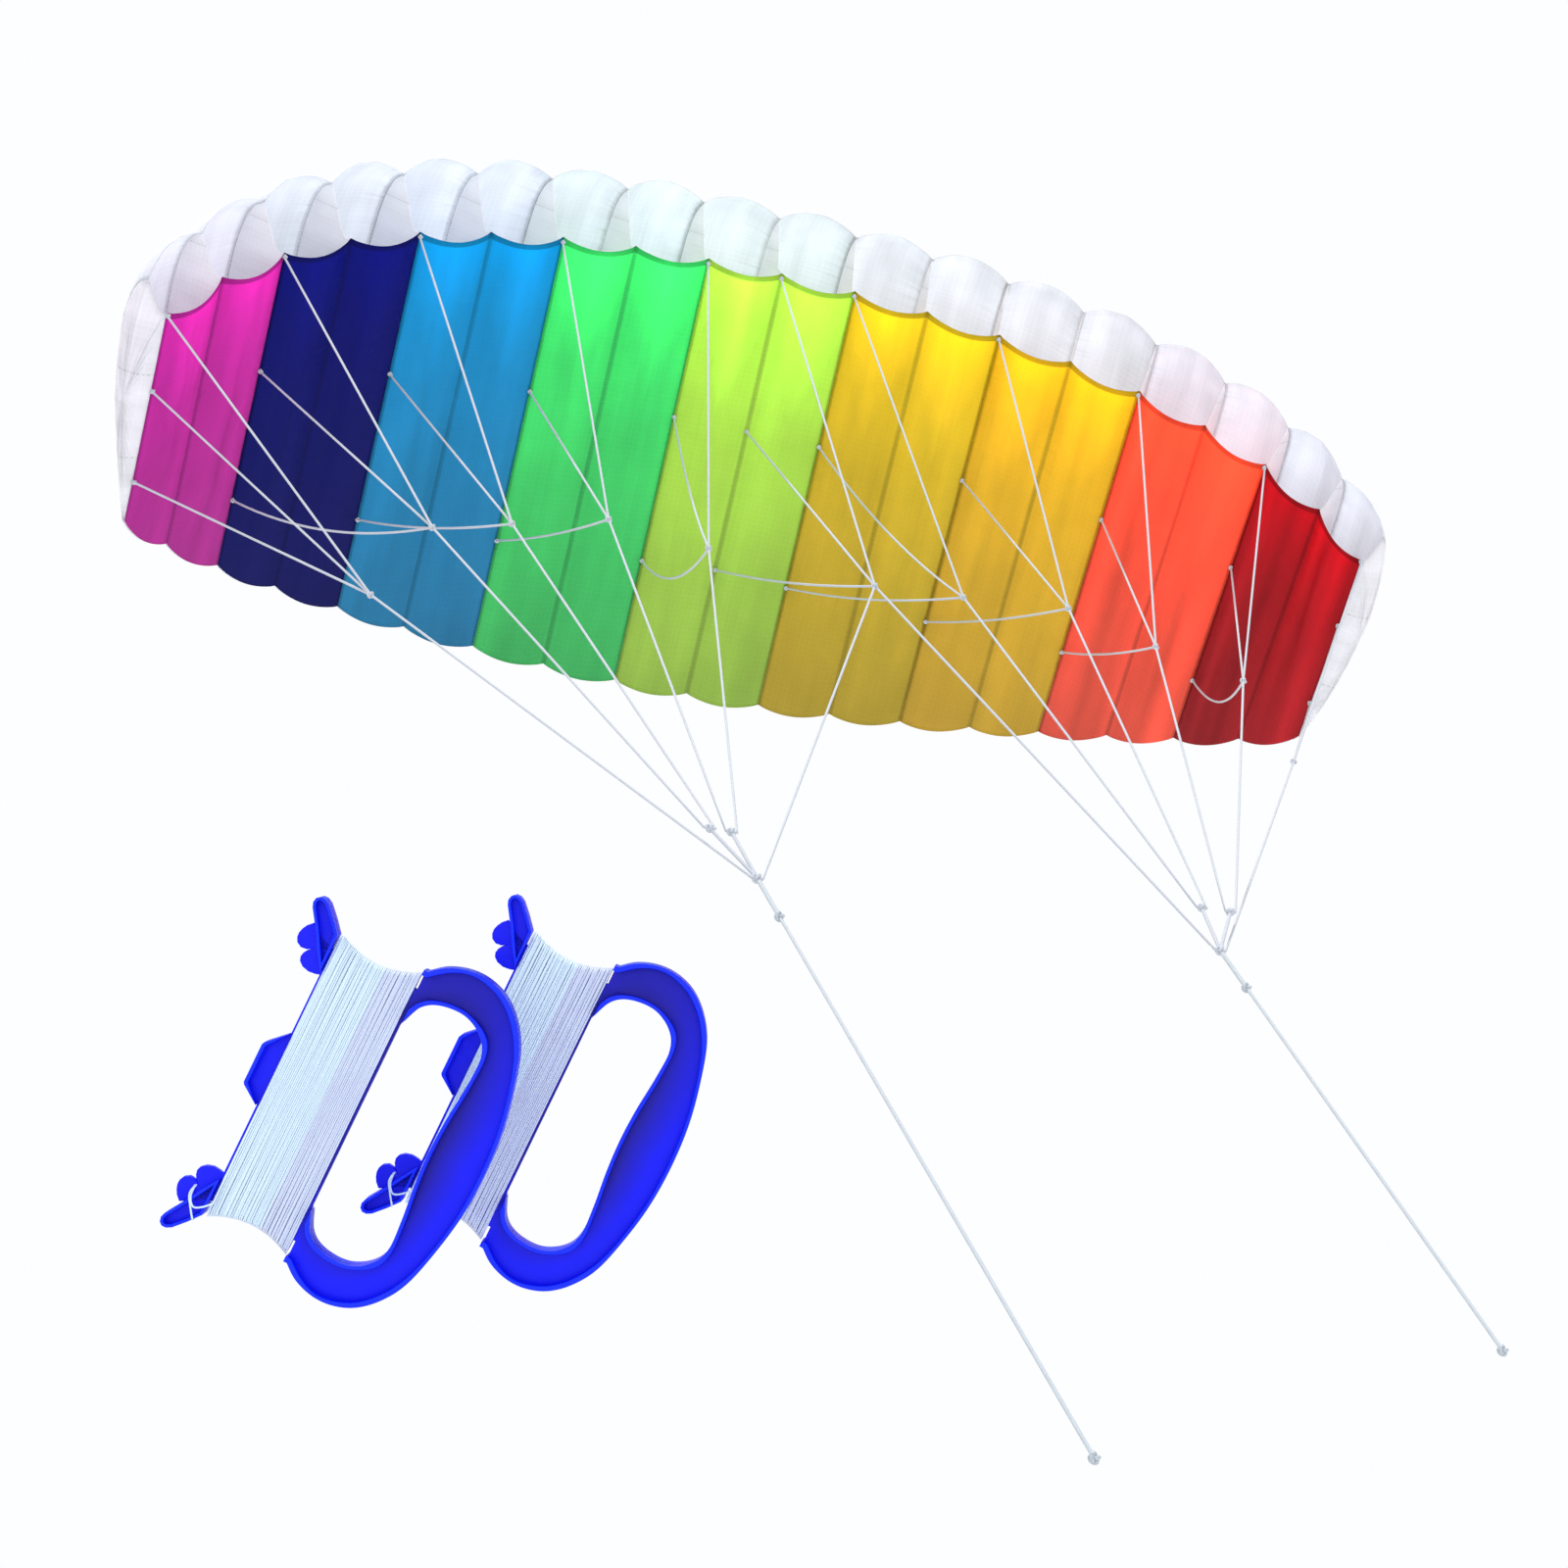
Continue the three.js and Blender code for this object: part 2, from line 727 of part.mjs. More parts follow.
panelColours.forEach(([colour, hex], panel) => {
  addPiece(`lower_skin_${colour}`, skinPanel(panel, lowerPoint, lowerSteps, 4, -1), finish(hex, 0.75));
  addPiece(`upper_skin_${panel + 1}`, skinPanel(panel, upperPoint, upperSteps, 4, 1), whiteFabric());
});

for (let index = 1; index < cellCount; index++) {
  addPiece(`rib_${index}`, ribPlate(index), whiteFabric());
}
addPiece("tip_cap_left", tipCap(0), whiteFabric());
addPiece("tip_cap_right", tipCap(cellCount), whiteFabric());

for (const index of [0, 2, 4, 6, 8, 9, 10, 12, 14, 16, 18]) {
  addPiece(`bridle_rib_${index}`, ribBridle(index), whiteCord());
}

for (const [side, name] of [
  [-1, "left"],
  [1, "right"],
]) {
  addPiece(`tow_bridle_${name}`, towBridle(side), whiteCord());
  addPiece(`lead_loop_${name}`, leadLoop(side), whiteCord());
  addPiece(`lead_line_${name}`, leadLine(side), whiteCord());
  addPiece(`lead_end_knot_${name}`, leadEndKnot(side), whiteCord());
  const pose = handlePose(handlePlaces[name]);
  addPiece(`handle_${name}`, handleBody().applyMatrix4(pose), finish(0x1420e8, 0.4));
  addPiece(`winding_${name}`, windingBody().applyMatrix4(pose), finish(0xe8f2fa, 0.6));
}

export default kite;
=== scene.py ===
import math
import random

import bmesh
import bpy
from mathutils import Matrix, Vector


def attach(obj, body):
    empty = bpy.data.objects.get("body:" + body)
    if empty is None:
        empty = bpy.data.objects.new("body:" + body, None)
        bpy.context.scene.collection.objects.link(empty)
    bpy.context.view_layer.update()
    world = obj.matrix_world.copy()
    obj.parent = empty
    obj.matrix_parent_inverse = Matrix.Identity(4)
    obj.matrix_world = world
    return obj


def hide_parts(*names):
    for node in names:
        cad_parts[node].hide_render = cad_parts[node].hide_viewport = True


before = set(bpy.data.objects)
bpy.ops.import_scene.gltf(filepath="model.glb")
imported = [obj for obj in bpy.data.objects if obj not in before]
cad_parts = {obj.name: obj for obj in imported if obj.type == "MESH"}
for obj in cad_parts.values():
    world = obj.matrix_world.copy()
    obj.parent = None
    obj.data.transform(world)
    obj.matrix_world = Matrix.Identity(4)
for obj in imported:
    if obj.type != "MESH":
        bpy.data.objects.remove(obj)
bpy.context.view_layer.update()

# Camera

viewer = {
    "place": (-0.8387, -0.7802, -2.7969),
    "azimuth": -42.0,
    "elevation": -62.0,
    "roll": -28.98,
    "lens": 67.5,
    "sensor": 36,
    "reach": 60,
}


def facingFrame(azimuth, elevation, roll):
    # right, up, towards
    a, e, r = (math.radians(x) for x in (azimuth, elevation, roll))
    towards = Vector((math.sin(a) * math.cos(e), -math.cos(a) * math.cos(e), math.sin(e)))
    level = Vector((math.cos(a), math.sin(a), 0))
    rise = towards.cross(level)
    right = level * math.cos(r) + rise * math.sin(r)
    return right, towards.cross(right), towards


def placedMatrix(azimuth, elevation, roll, place):
    right, up, towards = facingFrame(azimuth, elevation, roll)
    turned = Matrix((right, up, towards)).transposed().to_4x4()
    return Matrix.Translation(Vector(place)) @ turned


def makeCamera():
    data = bpy.data.cameras.new("viewer")
    data.lens = viewer["lens"]
    data.sensor_width = viewer["sensor"]
    data.clip_end = viewer["reach"]
    camera = bpy.data.objects.new("viewer", data)
    bpy.context.scene.collection.objects.link(camera)
    camera.matrix_world = placedMatrix(
        viewer["azimuth"], viewer["elevation"], viewer["roll"], viewer["place"]
    )
    bpy.context.scene.camera = camera


makeCamera()
print("camera made")

# Shader maths


class Sock:
    # a socket or a number, with operators that add Math nodes

    def __init__(self, tree, link):
        self.tree, self.link = tree, link

    def maths(self, operation, *others, clamp=False):
        node = self.tree.nodes.new("ShaderNodeMath")
        node.operation = operation
        node.use_clamp = clamp
        for slot, value in zip(node.inputs, (self, *others)):
            plug(self.tree, slot, value)
        return Sock(self.tree, node.outputs[0])

    def __add__(self, other):
        return self.maths("ADD", other)

    def __sub__(self, other):
        return self.maths("SUBTRACT", other)

    def __mul__(self, other):
        return self.maths("MULTIPLY", other)

    def __truediv__(self, other):
        return self.maths("DIVIDE", other)

    def __rsub__(self, other):
        return (self * -1) + other

    __radd__ = __add__
    __rmul__ = __mul__

    def below(self, edge):
        return self.maths("LESS_THAN", edge)

    def above(self, edge):
        return self.maths("GREATER_THAN", edge)

    def wave(self):
        return self.maths("SINE")

    def size(self):
        return self.maths("ABSOLUTE")

    def part(self):
        return self.maths("FRACT")

    def kept(self):
        return self.maths("ADD", 0.0, clamp=True)


def plug(tree, slot, value):
    if isinstance(value, Sock):
        tree.links.new(value.link, slot)
    else:
        slot.default_value = value


class Finish:
    # a material and the nodes in it

    def __init__(self, name, viewColour):
        self.material = bpy.data.materials.new(name)
        self.material.use_nodes = True
        self.material.diffuse_color = (*viewColour, 1)
        self.tree = self.material.node_tree
        self.tree.nodes.clear()
        self.out = self.tree.nodes.new("ShaderNodeOutputMaterial")

    def node(self, kind, settings=None, output=0, **inputs):
        made = self.tree.nodes.new("ShaderNode" + kind)
        for key, value in (settings or {}).items():
            setattr(made, key, value)
        for key, value in inputs.items():
            plug(self.tree, made.inputs[key.replace("_", " ")], value)
        return Sock(self.tree, made.outputs[output])

    def mixed(self, share, first, second):
        made = self.tree.nodes.new("ShaderNodeMix")
        made.data_type = "RGBA"
        plug(self.tree, made.inputs[0], share)
        plug(self.tree, made.inputs[6], first)
        plug(self.tree, made.inputs[7], second)
        return Sock(self.tree, made.outputs[2])

    def parted(self, vector):
        made = self.tree.nodes.new("ShaderNodeSeparateXYZ")
        plug(self.tree, made.inputs[0], vector)
        return [Sock(self.tree, made.outputs[i]) for i in range(3)]

    def noise(self, vector, scale, detail=3.0, roughness=0.5):
        return self.node("TexNoise", Vector=vector, Scale=scale, Detail=detail, Roughness=roughness)

    def bump(self, height, strength, distance):
        return self.node("Bump", Height=height, Strength=strength, Distance=distance)

    def done(self, shader):
        self.tree.links.new(shader.link, self.out.inputs["Surface"])
        return self.material


def rgba(colour):
    return (*colour, 1.0)


def dimmed(colour, share):
    return tuple(c * share for c in colour)


# Canopy shape, in metres; the same sizes as the CAD canopy

canopy = {
    "cells": 18,
    "cellWidth": 0.0778,
    "archBend": 0.8,
    "archCurl": 0.24,
    "rootChord": 0.429,
    "leadSweep": 0.108,
    "trailSweep": 0.125,
    "tipLift": 0.072,
    "noseUp": 0.074,
    "upperBulge": 0.0155,
    "lowerBulge": 0.0085,
    "lipSetback": 0.009,  # how far the lower lip hangs back between ribs
    "tailScallop": 0.008,  # how far each cell's trailing edge stands out between ribs
    "capBulge": 0.016,
    "skinLift": 0.0008,  # how far the cloth lies outside the ribs
    "clothThickness": 0.0003,
    "ribThickness": 0.0006,
    "ribInset": 0.0001,
    "capOutset": 0.0006,
    "capRings": 12,
    "ribSteps": 40,
    "ribTailShare": 0.985,
    "acrossCell": 16,
    "alongLower": 72,
    "alongUpper": 84,
    "plainFoldShade": 0.35,
    "paintedFoldShade": {"Orange": 0.9, "Red": 1.6, "Magenta": 0.7},  # where a colour's painted lengthwise bands of fold light and shade are stronger
    "profile": [  # the upper side of a rib, in shares of its chord, from the lip over to the tail
        (-0.115, 0.11),
        (-0.09, 0.148),
        (-0.03, 0.175),
        (0.1, 0.19),
        (0.3, 0.178),
        (0.5, 0.142),
        (0.72, 0.085),
        (0.88, 0.038),
        (1.0, 0.003),
    ],
}

panelCloth = [  # one colour for each two cells, from the left tip
    ("Magenta", "lower_skin_magenta", "fabric_magenta", (0.58, 0.020, 0.38)),
    ("Navy", "lower_skin_navy", "fabric_navy", (0.0008, 0.003, 0.17)),
    ("SkyBlue", "lower_skin_sky_blue", "fabric_sky_blue", (0.0002, 0.30, 0.59)),
    ("Green", "lower_skin_green", "fabric_green", (0.055, 0.76, 0.175)),
    ("Lime", "lower_skin_lime", "fabric_lime", (0.50, 0.80, 0.075)),
    ("Yellow", "lower_skin_yellow", "fabric_yellow", (0.74, 0.54, 0.010)),
    ("Amber", "lower_skin_amber", "fabric_amber", (0.80, 0.51, 0.008)),
    ("Orange", "lower_skin_orange", "fabric_orange", (1.0, 0.095, 0.036)),
    ("Red", "lower_skin_red", "fabric_red", (0.45, 0.003, 0.010)),
]

half = canopy["cells"] / 2
stationCache = {}


def station(cells):
    # the rib frame at a place along the span, counted in cells from the left tip
    key = round(cells, 5)
    if key in stationCache:
        return stationCache[key]
    share = (cells - half) / half
    side = -1 if share < 0 else 1
    reach = abs(share)
    halfSpan = half * canopy["cellWidth"]
    steps = 32
    along = drop = 0.0
    for k in range(steps):
        t = reach * (k + 0.5) / steps
        heading = canopy["archBend"] * t + canopy["archCurl"] * t**3
        along += math.cos(heading) * halfSpan * reach / steps
        drop += math.sin(heading) * halfSpan * reach / steps
    square = share * share
    height = -drop + canopy["tipLift"] * (0.18 * square + 0.82 * square**2)
    leadY = -canopy["rootChord"] / 2 + canopy["leadSweep"] * (0.45 * square + 0.55 * square**2)
    trailY = canopy["rootChord"] / 2 - canopy["trailSweep"] * (0.94 * square + 0.06 * square**2)
    lip = Vector((side * along, leadY, height))
    tail = Vector((side * along, trailY, height - canopy["noseUp"] * (1 - square) ** 3))
    chord = tail - lip
    back = chord.normalized()
    heading = side * (canopy["archBend"] * reach + canopy["archCurl"] * reach**3)
    tangent = Vector((math.cos(heading), 0, -math.sin(heading)))
    up = tangent.cross(back).normalized()
    stationCache[key] = (lip, chord.length, back, up, back.cross(up))
    return stationCache[key]


def rope(points, t):
    # a uniform Catmull-Rom curve through the points, and its slope
    spans = len(points) - 1
    k = min(int(t * spans), spans - 1)
    u = t * spans - k
    p1, p2 = Vector(points[k]), Vector(points[k + 1])
    p0 = Vector(points[k - 1]) if k else 2 * p1 - p2
    p3 = Vector(points[k + 2]) if k + 2 <= spans else 2 * p2 - p1
    place = 0.5 * (
        2 * p1 + (p2 - p0) * u + (2 * p0 - 5 * p1 + 4 * p2 - p3) * u * u
        + (3 * p1 - p0 - 3 * p2 + p3) * u**3
    )
    slope = 0.5 * (
        (p2 - p0) + 2 * (2 * p0 - 5 * p1 + 4 * p2 - p3) * u + 3 * (3 * p1 - p0 - 3 * p2 + p3) * u * u
    )
    return place, slope.normalized()


def fullness(cells):
    return abs(math.sin(math.pi * cells)) ** 0.8


def crease(cells, t, seed):
    # small cloth folds: puckers beside the seams and soft folds that run with the chord
    off = abs(cells - round(cells))
    near = math.exp(-off / 0.10)
    cell = math.floor(cells)
    ripple = math.sin(t * 96 + 1.7 * cell + seed) * math.sin(t * 41 + 2.3 * cell)
    pucker = 0.0009 * near * ripple * min(1, off / 0.03)
    spot = cells - cell - 0.5 + 0.10 * math.sin(3.1 * t + 1.9 * cell + seed)
    fold = 0.0034 * math.exp(-((spot / 0.055) ** 2)) * math.sin(2.2 * cell + seed + 2.6 * t)
    aside = cells - cell - 0.22 + 0.05 * math.sin(4.0 * t + 2.7 * cell)
    fold += 0.0018 * math.exp(-((aside / 0.05) ** 2)) * math.sin(3.7 * cell + seed - 2.0 * t)
    cross = 0.0010 * math.sin(t * 23 + 2.9 * cell) * math.cos(math.pi * (cells - cell - 0.5))
    return pucker + fold * min(1, 3 * t + 0.3) + cross


def upperPlace(cells, t, lift=0.0):
    lip, length, back, up, across = station(cells)
    place, slope = rope(canopy["profile"], t)
    full = fullness(cells) * min(1, length / canopy["rootChord"] * 1.15)
    swell = canopy["upperBulge"] * full * min(1, 4 * (1 - t)) + lift
    swell += crease(cells, t, 4.0) * min(1, 5 * (1 - t))
    scallop = canopy["tailScallop"] * fullness(cells) * max(0, 5 * t - 4)
    return (
        lip + back * (place.x * length - slope.y * swell + scallop)
        + up * (place.y * length + slope.x * swell)
    )


def lowerPlace(cells, t, lift=0.0):
    lip, length, back, up, across = station(cells)
    full = fullness(cells)
    swell = canopy["lowerBulge"] * full * min(1, 4 * (1 - t)) + lift
    swell += crease(cells, t, 1.0) * min(1, 5 * (1 - t)) * min(1, 12 * t)
    setback = canopy["lipSetback"] * full * max(0, 1 - 8 * t)
    scallop = canopy["tailScallop"] * full * max(0, 5 * t - 4)
    return lip + back * (t * length + setback + scallop) - up * swell


def newPiece(name, shape, material, smooth=True):
    mesh = bpy.data.meshes.new(name)
    shape.to_mesh(mesh)
    shape.free()
    piece = bpy.data.objects.new(name, mesh)
    bpy.context.scene.collection.objects.link(piece)
    mesh.materials.append(material)
    if smooth:
        mesh.shade_smooth()
    return piece


def clothPanel(name, place, first, last, along, material, outward):
    # a grid laid on the canopy's surface between two ribs, with the cloth's own measures as its UVs
    shape = bmesh.new()
    across = round((last - first) * canopy["acrossCell"])
    bmesh.ops.create_grid(shape, x_segments=across, y_segments=along, size=0.5)
    layer = shape.loops.layers.uv.new("cloth")
    spots = {v: (first + (last - first) * (v.co.x + 0.5), v.co.y + 0.5) for v in shape.verts}
    for v, (cells, t) in spots.items():
        v.co = place(cells, t, canopy["skinLift"])
    for face in shape.faces:
        for loop in face.loops:
            cells, t = spots[loop.vert]
            loop[layer].uv = (cells * canopy["cellWidth"], t * station(cells)[1])
    bmesh.ops.recalc_face_normals(shape, faces=shape.faces)
    middle = shape.faces[:][len(shape.faces) // 2]
    if middle.normal.dot(station((first + last) / 2)[3]) * outward < 0:
        bmesh.ops.reverse_faces(shape, faces=shape.faces)
    return newPiece(name, shape, material)


def thicken(piece, thickness, offset=1):
    # offset 1 grows outwards and offset 0 both ways
    solid = piece.modifiers.new("cloth", "SOLIDIFY")
    solid.thickness = thickness
    solid.offset = offset
    solid.use_even_offset = False
    applyModifiers(piece)


def applyModifiers(piece):
    graph = bpy.context.evaluated_depsgraph_get()
    mesh = bpy.data.meshes.new_from_object(piece.evaluated_get(graph))
    piece.modifiers.clear()
    old = piece.data
    piece.data = mesh
    bpy.data.meshes.remove(old)


ripstopWeave = {
    "gridPitch": 0.005,
    "gridLine": 0.44,  # how far from a square's middle its thick thread starts
    "seamHalf": 0.0026,
    "stitchHalf": 0.0005,
    "stitchPitch": 0.003,
    "hem": 0.006,
    "roughness": 0.52,
    "sheen": 0.02,
    "shine": 0.12,
}


def ripstop(name, colour, glow, seamShare, hemShare, paintedLipLight, paintedFoldShade=0.0, relief=1.0):
    # coated ripstop: a fine square grid, sewn seams at each rib, and light that comes through it, with
    # painted light near the lip and painted bands of fold light and shade
    f = Finish(name, colour)
    uv = f.node("UVMap", {"uv_map": "cloth"})

    def stretched(across, along, detail):
        # noise drawn out along the cloth, in cycles a metre
        mapped = f.node("Mapping", Vector=uv, Scale=(across, along, 1))
        return f.node("TexNoise", Vector=mapped, Scale=1.0, Detail=detail)

    u, v, w = f.parted(uv)
    cells = u / canopy["cellWidth"]
    toSeam = (((cells + 0.5).part() - 0.5).size()) * canopy["cellWidth"]
    pitch, line = ripstopWeave["gridPitch"], ripstopWeave["gridLine"]
    gridU, gridV = (((way / pitch).part() - 0.5).size().above(line) for way in (u, v))
    grid = (gridU + gridV).kept()
    blotch = f.noise(uv, 14.0)
    streak = stretched(60, 6, 3.0)
    seam = toSeam.below(ripstopWeave["seamHalf"])
    stitch = toSeam.below(ripstopWeave["stitchHalf"]) * (v / ripstopWeave["stitchPitch"]).part().below(0.6)
    hem = v.below(ripstopWeave["hem"])
    # painted light and shade: lengthwise bands that stand in for the light and shade on the cloth's folds
    paintedFoldNoise = stretched(26, 1.4, 1.0)
    shade = (blotch - 0.5) * 0.25 + (streak - 0.5) * 0.22 + (paintedFoldNoise - 0.5) * paintedFoldShade + 1.0
    # painted light: brighter and more saturated near the lip, with a brighter flare in each cell that
    # reaches furthest back at the cell's middle; darker and greyer towards the tail
    back = v / canopy["rootChord"]
    paintedFlare = (toSeam / canopy["cellWidth"] * 0.5 + 0.10 - back).kept() * 2.4
    shade = shade * (1.0 + paintedLipLight * 0.42 - back * paintedLipLight + paintedFlare * paintedLipLight)
    shade = shade * (1 - seam * seamShare) * (1 - hem * hemShare) + grid * 0.05
    shade = shade * (1 - stitch * 0.25)
    tone = f.node("HueSaturation", Color=rgba(colour), Value=shade, Saturation=1 - back * paintedLipLight * 0.14)
    weave = f.noise(uv, 2400.0, 1.0)
    height = grid * 0.5 + weave * 0.25 + seam * 0.8 - stitch * 0.8 + hem * 1.0
    fine = f.bump(height, 0.35 * relief, 0.0006)
    drawn = stretched(34, 5, 4.0)
    puckered = stretched(9, 110, 2.0)
    nearSeam = (1 - toSeam * 42).kept()
    creased = drawn * 1.0 + puckered * (nearSeam * 0.7 + 0.18)
    normal = f.node("Bump", Height=creased, Strength=0.55 * relief, Distance=0.005, Normal=fine)
    body = f.node("BsdfPrincipled", Base_Color=tone, Roughness=ripstopWeave["roughness"], Normal=normal)
    principled = body.link.node
    principled.inputs["Sheen Weight"].default_value = ripstopWeave["sheen"]
    principled.inputs["Specular IOR Level"].default_value = ripstopWeave["shine"]
    principled.inputs["Sheen Roughness"].default_value = 0.4
    through = f.node("BsdfTranslucent", Color=tone, Normal=normal)
    mix = f.tree.nodes.new("ShaderNodeMixShader")
    mix.inputs[0].default_value = glow
    f.tree.links.new(body.link, mix.inputs[1])
    f.tree.links.new(through.link, mix.inputs[2])
    return f.done(Sock(f.tree, mix.outputs[0]))


white = {"colour": (0.875, 0.90, 0.94), "glow": 0.5}
whiteCloth = ripstop("whiteRipstop", white["colour"], white["glow"], 0.10, 0.06, 0.0)
ribCloth = ripstop("ribRipstop", (0.93, 0.93, 0.95), 0.6, 0.0, 0.0, 0.0, relief=0.2)


def flatCut(first, last, place, along):
    # width, length and area of a panel laid flat
    cells = [first + (last - first) * k / 12 for k in range(13)]
    rows = [[place(c, t / along) for t in range(along + 1)] for c in cells]
    lengths = [sum((a - b).length for a, b in zip(row, row[1:])) for row in rows]
    area = 0.0
    widths = [0.0] * (along + 1)
    for row, nextRow in zip(rows, rows[1:]):
        for k in range(along):
            one = (row[k + 1] - row[k]).cross(nextRow[k] - row[k]).length / 2
            other = (nextRow[k] - nextRow[k + 1]).cross(row[k + 1] - nextRow[k + 1]).length / 2
            area += one + other
        for k in range(along + 1):
            widths[k] += (nextRow[k] - row[k]).length
    return max(widths), max(lengths), area


def makeSkins():
    for number, (colourName, node, slotName, colour) in enumerate(panelCloth):
        first, last = 2 * number, 2 * number + 2
        paintedFoldShade = canopy["paintedFoldShade"].get(colourName, canopy["plainFoldShade"])
        # the last two arguments set the painted light near the lip and the strength of the painted fold
        # bands
        cloth = ripstop("ripstop" + colourName, colour, 0.42, 0.22, 0.45, 0.6, paintedFoldShade)
        lower = clothPanel(
            "lowerSkin" + colourName, lowerPlace, first, last, canopy["alongLower"], cloth, -1
        )
        upper = clothPanel(
            f"upperSkin{number + 1}", upperPlace, first, last, canopy["alongUpper"], whiteCloth, 1
        )
        for piece, cadNode, place, slotted in (
            (lower, node, lowerPlace, slotName),
            (upper, f"upper_skin_{number + 1}", upperPlace, "fabric_white"),
        ):
            thicken(piece, canopy["clothThickness"])
            width, length, area = flatCut(first, last, place, 24)
            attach(piece, "canopy")
            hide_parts(cadNode)


def ribEdge(length, inset):
    # the outline of a rib from its upper lip over to the tail, back along the chord and up the mouth
    steps = canopy["ribSteps"]
    points = []
    for k in range(steps + 1):
        place, slope = rope(canopy["profile"], canopy["ribTailShare"] * k / steps)
        points.append((place.x * length + slope.y * inset, place.y * length - slope.x * inset))
    tail = points[-1][0]
    points += [(tail * (1 - k / steps), inset) for k in range(steps + 1)]
    top, foot = Vector(points[0]), Vector(points[-1])
    for k in range(1, 8):
        t = k / 8
        bow = 0.05 * length * math.sin(math.pi * t)
        spot = foot.lerp(top, t)
        points.append((spot.x + bow, spot.y - bow * 0.4))
    return points


def onStation(cells, x, y, out=0.0):
    lip, length, back, up, across = station(cells)
    return lip + back * x + up * y + across * out


def ribPiece(index):
    # a capped circle drawn out to the rib's outline, then triangulated
    shape = bmesh.new()
    points = ribEdge(station(index)[1], canopy["ribInset"])
    bmesh.ops.create_circle(shape, cap_ends=True, radius=1, segments=len(points))
    shape.faces.ensure_lookup_table()
    face = shape.faces[0]
    layer = shape.loops.layers.uv.new("cloth")
    for loop, (x, y) in zip(face.loops, points):
        loop.vert.co = onStation(index, x, y)
        loop[layer].uv = (x + 0.02, y + 0.02)
    bmesh.ops.triangulate(shape, faces=[face])
    piece = newPiece(f"rib{index}Cloth", shape, ribCloth, smooth=False)
    thicken(piece, canopy["ribThickness"], offset=0)
    return piece


def tipCapPiece(index, name):
    out = -1 if index == 0 else 1
    length = station(index)[1]
    points = ribEdge(length, -canopy["capOutset"])
    middle = Vector((0.42 * length, 0.085 * length))
    # a capped circle inset ring by ring, each ring drawn to its share of the outline and swelled out
    shape = bmesh.new()
    rings = canopy["capRings"]
    bmesh.ops.create_circle(shape, cap_ends=True, radius=1, segments=len(points))
    shape.faces.ensure_lookup_table()
    face = shape.faces[0]
    layer = shape.loops.layers.uv.new("cloth")
    spots = {}
    for r in range(rings):
        share = 1 - r / rings
        if r:
            bmesh.ops.inset_individual(shape, faces=[face], thickness=0.0004, use_even_offset=False)
        for k, ((x, y), v) in enumerate(zip(points, face.verts)):
            flat = middle.lerp(Vector((x, y)), share)
            swell = canopy["capBulge"] * (1 - share**2.4)
            swell += 0.0008 * math.sin(k * 1.9) * math.sin(math.pi * share) + 0.0002
            v.co = onStation(index, flat.x, flat.y, out * swell)
            spots[v] = (flat.x, flat.y)
    crown = bmesh.ops.poke(shape, faces=[face])["verts"][0]
    crown.co = onStation(index, middle.x, middle.y, out * canopy["capBulge"])
    spots[crown] = tuple(middle)
    for face in shape.faces:
        for loop in face.loops:
            x, y = spots[loop.vert]
            loop[layer].uv = (x + 0.02, y + 0.02)
    bmesh.ops.recalc_face_normals(shape, faces=shape.faces)
    shape.faces.ensure_lookup_table()
    if shape.faces[-1].normal.dot(station(index)[4]) * out < 0:
        bmesh.ops.reverse_faces(shape, faces=shape.faces)
    piece = newPiece(name, shape, ribCloth)
    thicken(piece, canopy["clothThickness"])
    return piece


def makeRibs():
    for index in range(1, canopy["cells"]):
        piece = ribPiece(index)
        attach(piece, "canopy")
        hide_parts(f"rib_{index}")
    for index, side in ((0, "left"), (canopy["cells"], "right")):
        piece = tipCapPiece(index, f"tipCap{side.title()}")
        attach(piece, "canopy")
        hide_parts(f"tip_cap_{side}")


# Cords

bridle = {
    "thickness": 0.0021,
    "towThickness": 0.0029,
    "ribKnot": 0.0044,
    "seamKnot": 0.0030,
    "seamKnotDrop": 0.001,
    "legTopDrop": 0.0015,
    "towKnot": 0.0056,
    "frontShare": 0.012,
    "middleShare": 0.37,
    "rearShare": 0.70,
    "rearTipShare": 0.81,
    "middleSlack": 0.016,
    "rearSlack": {0: 0, 2: 0.018, 4: 0.007, 6: 0.005, 8: 0.026, 9: 0.006, 10: 0.008, 12: 0.005, 14: 0.005,
                  16: 0.024, 18: 0},
    "sagWay": (0, 0.62, -0.78),
    "hitch": 0.0044,
    "tow": (0.186, 0.0185, -0.965),
    "outerJoin": (0.213, 0.0085, -0.911),
    "innerJoin": (0.193, 0.0125, -0.902),
    "centreKnot": (0, -0.0735, -0.518),
    "knots": {
        0: (0.426, 0.0065, -0.544),
        2: (0.379, -0.0425, -0.490),
        4: (0.305, -0.0455, -0.448),
        6: (0.219, -0.0595, -0.428),
        8: (0.122, -0.0475, -0.417),
    },
}

lead = {
    "lean": 2.4,
    "thickness": 0.0024,
    "loopThickness": 0.0034,
    "loop": 0.060,
    "left": 0.677,
    "right": 0.528,
    "endKnot": 0.009,
    "endKnotSize": 0.0048,
    "loopKnotSize": 0.0056,
    "loopStart": 0.0046,  # how far below the tow knot the loop starts
    "lineStart": 0.0022,  # how far below the loop's end the line starts, inside its knot
}


